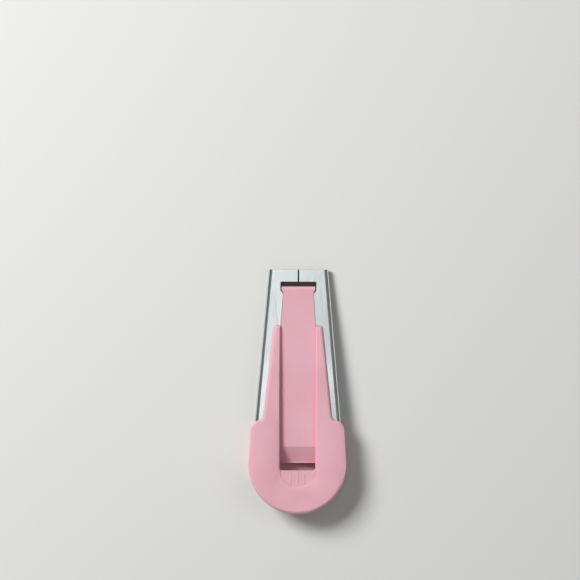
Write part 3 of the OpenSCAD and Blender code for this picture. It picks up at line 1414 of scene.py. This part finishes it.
class Effects:
    """Surface effects that the finishes share, each built once as a node group."""

    VECTOR = "NodeSocketVector"
    VALUE = "NodeSocketFloat"
    COLOR = "NodeSocketColor"
    GRAIN_NOISE = {"Detail": 2.5, "Roughness": 0.6}
    DRIFT_NOISE = {"Detail": 2.0, "Roughness": 0.5}
    PATCHES = (0.3, 0.7)
    HAIRLINES = ((0.35, (1, 0.05, 0.4)), (-0.8, (1, 0.09, 0.4)))
    HAIRLINE_W = 0.03
    BREAK_NOISE = {"Detail": 1.0}
    BREAKS = (0.5, 0.66)
    TOUCH_NOISE = {"Detail": 2.0}
    TOUCHES = (0.25, 0.6)
    EDGE_TURN = (0.995, 0.86)
    EDGE_SAMPLES = 4
    OPEN_SKY = (0.9, 0.35)
    SKY_SAMPLES = 8
    LEVEL = (0.4, 0.85)

    def __init__(self) -> None:
        """Build the groups."""
        self.grain = self.fine_grain()
        self.drift = self.tone_drift()
        self.rub = self.rub_marks()
        self.edge = self.edge_touch()
        # Painted shade: mask of the hollows, where shade and bounce light are painted into the plastic's
        # colour.
        self.hollow = self.painted_hollow_shade()

    def group(self, name: str, inputs: Kinds, outputs: Kinds) -> tuple[Wiring, Sockets, bpy.types.Node]:
        """Start a node group with named sockets.

        Args:
            name: Name of the group.
            inputs: Kind of each input.
            outputs: Kind of each output.

        Returns:
            The wiring, the inputs' sockets inside the group and the node that takes the outputs.
        """
        tree = bpy.data.node_groups.new(name, "ShaderNodeTree")
        for label, kind in inputs.items():
            tree.interface.new_socket(name=label, in_out="INPUT", socket_type=kind)
        for label, kind in outputs.items():
            tree.interface.new_socket(name=label, in_out="OUTPUT", socket_type=kind)
        source = tree.nodes.new("NodeGroupInput")
        target = tree.nodes.new("NodeGroupOutput")
        return Wiring(tree), source.outputs, target

    def fine_grain(self) -> bpy.types.NodeTree:
        """Grain that can be drawn out in one direction.

        Returns:
            The group, with the grain's height.
        """
        inputs = {"Place": self.VECTOR, "Stretch": self.VECTOR, "Count": self.VALUE}
        wiring, given, target = self.group("fine_grain", inputs, {"Height": self.VALUE})
        place = wiring.node("VectorMath", {0: given["Place"], 1: given["Stretch"]}, operation="MULTIPLY")
        height = wiring.noise(place.outputs[0], given["Count"], self.GRAIN_NOISE)
        wiring.feed(target, {"Height": height})
        return wiring.tree

    def tone_drift(self) -> bpy.types.NodeTree:
        """Slow drift between two tones.

        Returns:
            The group, with the colour and the patches that it follows.
        """
        inputs = {"Place": self.VECTOR, "Count": self.VALUE, "Deep": self.COLOR, "Light": self.COLOR}
        outputs = {"Color": self.COLOR, "Patch": self.VALUE}
        wiring, given, target = self.group("tone_drift", inputs, outputs)
        noise = wiring.noise(given["Place"], given["Count"], self.DRIFT_NOISE)
        patch = wiring.window(noise, *self.PATCHES)
        wiring.feed(target, {"Color": wiring.blend(patch, given["Deep"], given["Light"]), "Patch": patch})
        return wiring.tree

    def rub_marks(self) -> bpy.types.NodeTree:
        """Hairlines in two directions that come and go.

        Returns:
            The group, with the mask of the hairlines.
        """
        inputs = {"Place": self.VECTOR, "Count": self.VALUE}
        wiring, given, target = self.group("rub_marks", inputs, {"Mask": self.VALUE})
        lines = []
        for turn, stretch in self.HAIRLINES:
            values = {"Vector": given["Place"], "Rotation": (0, 0, turn), "Scale": stretch}
            place = wiring.node("Mapping", values).outputs[0]
            values = {"Vector": place, "Scale": given["Count"]}
            cells = wiring.node("TexVoronoi", values, feature="DISTANCE_TO_EDGE")
            lines.append(wiring.window(cells.outputs["Distance"], self.HAIRLINE_W, 0.0))
        both = wiring.math("MAXIMUM", *lines)
        noise = wiring.noise(given["Place"], given["Count"], self.BREAK_NOISE)
        mask = wiring.math("MULTIPLY", both, wiring.window(noise, *self.BREAKS))
        wiring.feed(target, {"Mask": mask})
        return wiring.tree

    def edge_touch(self) -> bpy.types.NodeTree:
        """Edges and bends that handling reaches first.

        Returns:
            The group, with the mask of the edges.
        """
        inputs = {"Place": self.VECTOR, "Count": self.VALUE, "Reach": self.VALUE}
        wiring, given, target = self.group("edge_touch", inputs, {"Mask": self.VALUE})
        rounded = wiring.node("Bevel", {"Radius": given["Reach"]}, samples=self.EDGE_SAMPLES)
        values = {0: rounded.outputs[0], 1: wiring.node("NewGeometry").outputs["Normal"]}
        turn = wiring.node("VectorMath", values, operation="DOT_PRODUCT").outputs["Value"]
        edge = wiring.window(turn, *self.EDGE_TURN)
        noise = wiring.noise(given["Place"], given["Count"], self.TOUCH_NOISE)
        wiring.feed(target, {"Mask": wiring.math("MULTIPLY", edge, wiring.window(noise, *self.TOUCHES))})
        return wiring.tree

    def painted_hollow_shade(self) -> bpy.types.NodeTree:
        """Painted shade and bounce light: a mask of the hollows, where the plastic's colour is painted
        deeper and redder for the light that goes to and fro there.

        Returns:
            The group, with the mask of the hollows.
        """
        wiring, given, target = self.group("painted_hollow_shade", {"Reach": self.VALUE}, {"Mask": self.VALUE})
        sky = wiring.node(
            "AmbientOcclusion",
            {"Distance": given["Reach"]},
            samples=self.SKY_SAMPLES,
            only_local=True,
        )
        # Painted shade: the less open sky the ambient occlusion finds, the more of the hollow colour is
        # painted.
        hollow = wiring.window(sky.outputs["AO"], *self.OPEN_SKY)
        way = wiring.node("NewGeometry").outputs["Normal"]
        up = wiring.node("SeparateXYZ", {"Vector": way}).outputs["Z"]
        wiring.feed(target, {"Mask": wiring.math("MULTIPLY", hollow, wiring.window(up, *self.LEVEL))})
        return wiring.tree


def start_material(name: str) -> tuple[bpy.types.Material, Wiring, bpy.types.Node]:
    """Start a material with nodes.

    Args:
        name: Name of the material.

    Returns:
        The material, its wiring and its shader.
    """
    material = bpy.data.materials.new(name)
    material.use_nodes = True
    return material, Wiring(material.node_tree), material.node_tree.nodes["Principled BSDF"]


class Ground(NamedTuple):
    """Start of a finish: its nodes, its place on the piece, its tone and its masks."""

    material: bpy.types.Material
    wiring: Wiring
    shader: bpy.types.Node
    place: Socket
    color: Socket
    patch: Socket
    rub: Socket
    edge: Socket


@dataclass(frozen=True, kw_only=True)
class Finish:
    """What the finishes share: a drifting tone, touched edges, rub marks and a fine bump."""

    name: str
    light: Color
    deep: Color
    worn: Color
    rough: float
    bump: float
    bump_reach: float
    drift_count: float
    rub_count: float
    rub_rough: float
    edge_count: float
    edge_reach: float
    edge_share: float

    def start(self, effects: Effects) -> Ground:
        """Start the material with what the finishes share.

        Args:
            effects: The shared effects.

        Returns:
            The start of the finish.
        """
        material, wiring, shader = start_material(self.name)
        place = wiring.node("TexCoord").outputs["Object"]
        values = {"Place": place, "Count": self.drift_count, "Deep": self.deep, "Light": self.light}
        tone = wiring.effect(effects.drift, values)
        rub = wiring.effect(effects.rub, {"Place": place, "Count": self.rub_count})["Mask"]
        values = {"Place": place, "Count": self.edge_count, "Reach": self.edge_reach}
        edge = wiring.effect(effects.edge, values)["Mask"]
        color = wiring.tint(tone["Color"], edge, self.edge_share, self.worn)
        return Ground(material, wiring, shader, place, color, tone["Patch"], rub, edge)

    def grain(self, effects: Effects, ground: Ground, stretch: Point3, count: float) -> Socket:
        """Lay grain over the piece.

        Args:
            effects: The shared effects.
            ground: The start of the finish.
            stretch: How much the grain is drawn out along each axis.
            count: Number of grains in a metre.

        Returns:
            The grain's height.
        """
        values = {"Place": ground.place, "Stretch": stretch, "Count": count}
        return ground.wiring.effect(effects.grain, values)["Height"]

    def relief(self, ground: Ground, height: Socket) -> Socket:
        """Turn a height into the finish's bump."""
        values = {"Height": height, "Strength": self.bump, "Distance": self.bump_reach}
        return ground.wiring.node("Bump", values).outputs[0]


@dataclass(frozen=True, kw_only=True)
class MouldedPlastic(Finish):
    """Satin pink plastic: fine moulded skin, drifting tone, polished edges, faint rub marks and painted
    shade in its hollows.
    """

    name: str = "pink_plastic"
    light: Color = (0.75, 0.42, 0.494, 1)
    deep: Color = (0.715, 0.38, 0.452, 1)
    worn: Color = (0.80, 0.51, 0.58, 1)
    # With the grain added, the plastic stays rough enough to be cleared of noise without dark specks.
    rough: float = 0.25
    bump: float = 0.12
    bump_reach: float = 0.00004
    drift_count: float = 60.0
    rub_count: float = 260.0
    rub_rough: float = 0.012
    rub_share: float = 0.08
    edge_count: float = 300.0
    edge_reach: float = 0.0004
    edge_share: float = 0.45
    edge_polish: float = 0.04
    skin_stretch: Point3 = (1.0, 1.0, 1.0)
    skin_count: float = 2600.0
    skin_rough: float = 0.05
    flow_stretch: Point3 = (1.0, 0.12, 1.0)
    flow_count: float = 420.0
    flow_rough: float = 0.08
    flow_bump: float = 0.5
    # Painted shade and bounce light: the deeper red that is painted into the hollows, how far the hollows
    # are sought and how much of it is mixed in.
    hollow: Color = (0.89, 0.275, 0.34, 1)
    painted_shade_reach: float = 0.007
    painted_shade_share: float = 0.6
    depth: float = 0.35
    bleed: Point3 = (1.0, 0.35, 0.4)
    bleed_reach: float = 0.0012

    def material(self, effects: Effects) -> bpy.types.Material:
        """Mix the finish.

        Args:
            effects: The shared effects.

        Returns:
            The material.
        """
        ground = self.start(effects)
        wiring = ground.wiring
        skin = self.grain(effects, ground, self.skin_stretch, self.skin_count)
        flow = self.grain(effects, ground, self.flow_stretch, self.flow_count)
        painted_shade_mask = wiring.effect(effects.hollow, {"Reach": self.painted_shade_reach})["Mask"]
        color = wiring.tint(ground.color, ground.rub, self.rub_share, self.worn)
        rough = wiring.add_up(
            self.rough,
            (flow, self.flow_rough),
            (skin, self.skin_rough),
            (ground.edge, -self.edge_polish),
            (ground.rub, self.rub_rough),
        )
        values = {
            # Painted shade: the base colour turns deeper red in hollows and corners, where shade and
            # bounce light fall.
            "Base Color": wiring.tint(color, painted_shade_mask, self.painted_shade_share, self.hollow),
            "Roughness": rough,
            "Normal": self.relief(ground, wiring.add_up(skin, (flow, self.flow_bump))),
            "Subsurface Weight": self.depth,
            "Subsurface Radius": self.bleed,
            "Subsurface Scale": self.bleed_reach,
        }
        wiring.feed(ground.shader, values)
        return ground.material


@dataclass(frozen=True, kw_only=True)
class SheetMetal(Finish):
    """Nickel-plated steel sheet: rolling lines, slow tone, smudges and burnished bends."""

    bump: float = 0.04
    bump_reach: float = 0.00003
    drift_count: float = 45.0
    smudge_rough: float = 0.07
    rub_count: float = 220.0
    rub_rough: float = 0.03
    rub_bump: float = 0.12
    edge_count: float = 250.0
    edge_reach: float = 0.0003
    edge_share: float = 0.5
    roll_stretch: Point3 = (1.0, 0.03, 1.0)
    roll_count: float = 3200.0
    roll_rough: float = 0.08

    def material(self, effects: Effects) -> bpy.types.Material:
        """Mix the finish.

        Args:
            effects: The shared effects.

        Returns:
            The material.
        """
        ground = self.start(effects)
        wiring = ground.wiring
        roll = self.grain(effects, ground, self.roll_stretch, self.roll_count)
        rough = wiring.add_up(
            self.rough - self.roll_rough / 2,
            (roll, self.roll_rough),
            (ground.patch, self.smudge_rough),
            (ground.rub, self.rub_rough),
        )
        values = {
            "Base Color": ground.color,
            "Roughness": rough,
            "Metallic": 1.0,
            "Normal": self.relief(ground, wiring.add_up(roll, (ground.rub, -self.rub_bump))),
        }
        wiring.feed(ground.shader, values)
        return ground.material


NICKEL_FACE = SheetMetal(
    name="nickel_face",
    light=(0.785, 0.83, 0.835, 1),
    deep=(0.72, 0.765, 0.77, 1),
    worn=(0.86, 0.87, 0.86, 1),
    rough=0.17,
)
# Painted shade: the folder's inner faces get a dark brown colour for the shade inside the folder; the
# higher roughness is the unpolished inside of the sheet.
NICKEL_INSIDE_PAINTED_SHADE = SheetMetal(
    name="nickel_inside_painted_shade",
    light=(0.26, 0.225, 0.20, 1),
    deep=(0.19, 0.165, 0.145, 1),
    worn=(0.34, 0.31, 0.28, 1),
    rough=0.42,
)
CUT_EDGE = SheetMetal(
    name="cut_edge",
    light=(0.60, 0.60, 0.58, 1),
    deep=(0.46, 0.455, 0.44, 1),
    worn=(0.72, 0.72, 0.70, 1),
    rough=0.36,
    roll_stretch=(1.0, 1.0, 0.08),
    roll_count=4200.0,
    bump=0.2,
)


@dataclass(frozen=True)
class Lamp:
    """One soft lamp that faces the object, in metres and watts."""

    name: str
    place: Point3
    size: Point
    power: float
    reach: Reach = Reach.BOTH

    def hang(self) -> None:
        """Hang the lamp, out of the camera's sight."""
        light = bpy.data.lights.new(self.name, "AREA")
        light.shape = "RECTANGLE"
        light.size, light.size_y = self.size
        light.energy = self.power
        obj = bpy.data.objects.new(self.name, light)
        obj.location = self.place
        obj.rotation_euler = (-Vector(self.place)).to_track_quat("-Z", "Y").to_euler()
        obj.visible_camera = False
        obj.visible_glossy = self.reach is not Reach.MATT
        obj.visible_diffuse = self.reach is not Reach.GLOSS
        bpy.context.collection.objects.link(obj)


class Studio:
    """Pale floor, soft light and the camera straight above."""

    FLOOR: Color = (0.70, 0.70, 0.68, 1)
    FLOOR_W = 6.0
    FLOOR_DROP = 0.00005
    FLOOR_ROUGH = 0.85
    FLOOR_GLOSS = 0.1
    HORIZON: Color = (0.10, 0.105, 0.10, 1)
    OVERHEAD: Color = (0.19, 0.195, 0.195, 1)
    SKY_RISE = (0.0, 0.9)
    LENS = 200.0
    SENSOR = 36.0
    VIEW_W = 0.196
    TURN = 0.3
    AIM = (-0.00284, 0.0343, 0.007)
    FAR = 20.0
    LAMPS = (
        Lamp("key_left", (-0.63, 0.47, 0.70), (0.42, 0.42), 12.6, Reach.MATT),
        Lamp("fill_right", (0.60, 0.10, 0.75), (0.60, 0.60), 1.0, Reach.MATT),
        Lamp("card_front", (-0.05, 0.22, 1.15), (0.22, 0.28), 0.24),
        Lamp("card_low", (-0.15, 0.85, 0.42), (0.90, 0.36), 0.9, Reach.GLOSS),
        Lamp("card_left", (-0.68, -0.31, 0.45), (0.60, 0.50), 1.0, Reach.GLOSS),
        Lamp("card_right", (0.32, -0.76, 0.40), (0.36, 0.40), 0.5, Reach.GLOSS),
    )

    def build(self) -> None:
        """Set up the floor, the lamps, the world and the camera."""
        self.floor()
        for lamp in self.LAMPS:
            lamp.hang()
        self.world()
        self.camera()

    def floor(self) -> None:
        """Lay a wide plain floor under the object."""
        drop_selection()
        bpy.ops.mesh.primitive_plane_add(size=self.FLOOR_W, location=(0, 0, -self.FLOOR_DROP))
        floor = bpy.context.object
        floor.name = "floor"
        paint, wiring, shader = start_material("pale_floor")
        values = {
            "Base Color": self.FLOOR,
            "Roughness": self.FLOOR_ROUGH,
            "Specular IOR Level": self.FLOOR_GLOSS,
        }
        wiring.feed(shader, values)
        floor.data.materials.append(paint)

    def world(self) -> None:
        """Make a world that is dark at the horizon and soft overhead."""
        world = bpy.data.worlds.new("studio")
        world.use_nodes = True
        wiring = Wiring(world.node_tree)
        place = wiring.node("TexCoord").outputs["Generated"]
        height = wiring.node("SeparateXYZ", {"Vector": place}).outputs["Z"]
        sky = wiring.blend(wiring.window(height, *self.SKY_RISE), self.HORIZON, self.OVERHEAD)
        wiring.feed(world.node_tree.nodes["Background"], {"Color": sky})
        bpy.context.scene.world = world

    def camera(self) -> None:
        """Hang the camera straight above, with the tip at the top of the picture."""
        data = bpy.data.cameras.new("camera")
        data.lens = self.LENS
        data.sensor_width = self.SENSOR
        data.clip_end = self.FAR
        camera = bpy.data.objects.new("camera", data)
        distance = self.VIEW_W * self.LENS / self.SENSOR
        camera.location = (self.AIM[0], self.AIM[1], self.AIM[2] + distance)
        camera.rotation_euler = (0, 0, math.radians(self.TURN))
        bpy.context.collection.objects.link(camera)
        bpy.context.scene.camera = camera
        bpy.context.scene.view_settings.view_transform = "Standard"


def main() -> None:
    """Build the pieces in order and report each one."""
    logging.basicConfig(level=logging.INFO, format="%(name)s: %(message)s")
    layout = Layout.from_frame()
    effects = Effects()
    pink = MouldedPlastic().material(effects)
    metal = [finish.material(effects) for finish in (NICKEL_FACE, CUT_EDGE, NICKEL_INSIDE_PAINTED_SHADE)]
    jobs = (
        (FolderShell(layout, *metal), "folder_shell", "nickel_steel"),
        (GuideBody(layout, pink), "guide_body", "pink_plastic"),
        (BaseTray(layout, pink), "base_tray", "pink_plastic"),
    )
    for maker, node, slot in jobs:
        piece = maker.build()
        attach(piece, "root")
        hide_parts(node)
        LOG.info("%s: %d faces", piece.name, len(piece.data.polygons))
    Studio().build()


if __name__ == "__main__":
    main()
